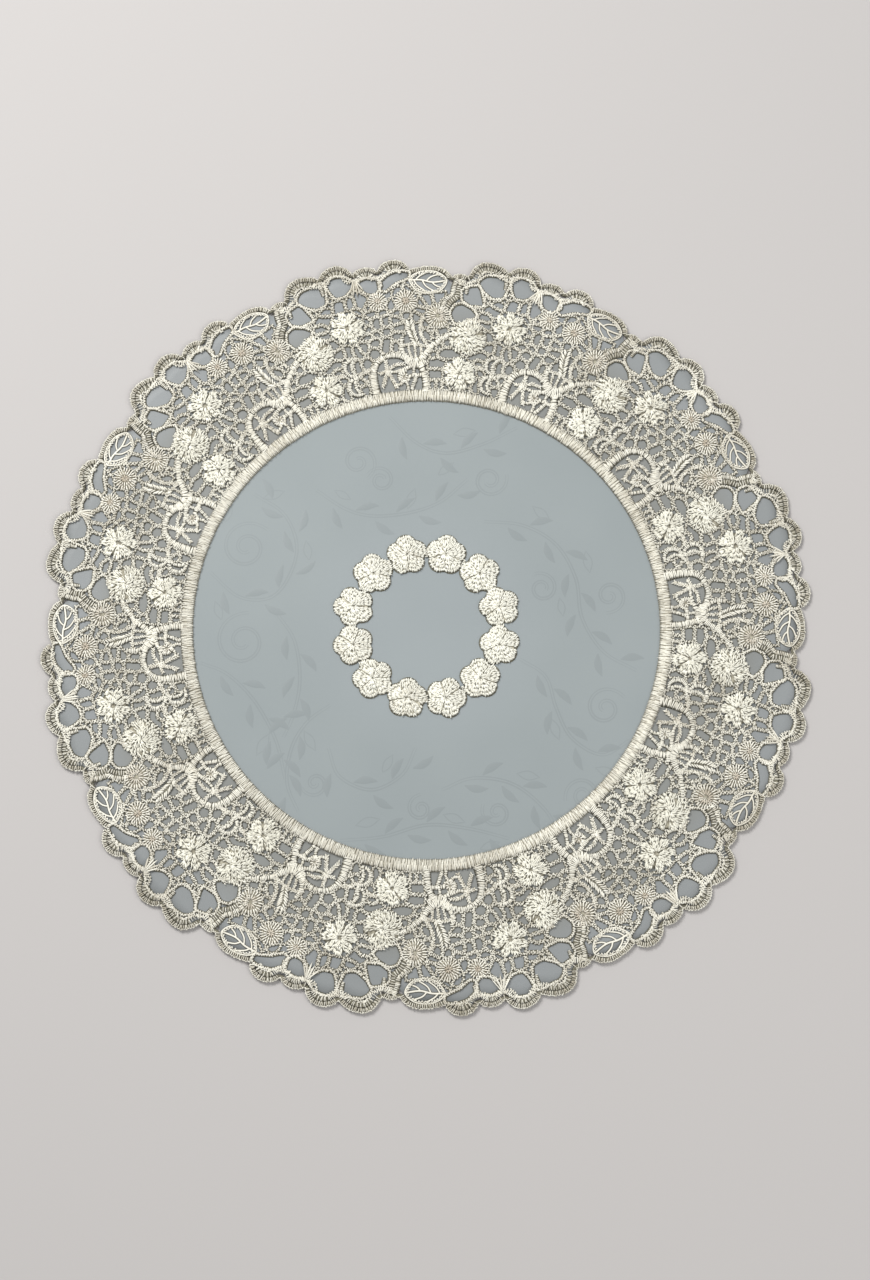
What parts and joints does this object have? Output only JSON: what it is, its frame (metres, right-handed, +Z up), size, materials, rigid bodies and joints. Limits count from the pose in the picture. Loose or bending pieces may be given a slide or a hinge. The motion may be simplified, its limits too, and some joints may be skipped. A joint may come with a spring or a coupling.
{
  "type": "lace placemat",
  "caption": "Round cloth placemat with a scalloped openwork lace border, a raised satin heading and a ring of raised lace flowers in the middle.",
  "frame": {"origin": "centre of the flat underside", "axes": "+Z up, square to the cloth; the lace pattern repeats around it"},
  "size_m": [0.3988, 0.3988, 0.0033],
  "materials": {
    "damask_cloth": "patterned weave, soft sheen",
    "lace_thread": "openwork embroidery, matt to satin",
    "satin_thread": "close satin stitch, soft lustre"
  },
  "bodies": {
    "root": {"ground_cloth": "damask_cloth", "lace_border": "lace_thread", "satin_heading": "satin_thread", "flower_ring": "satin_thread"}
  },
  "joints": []
}
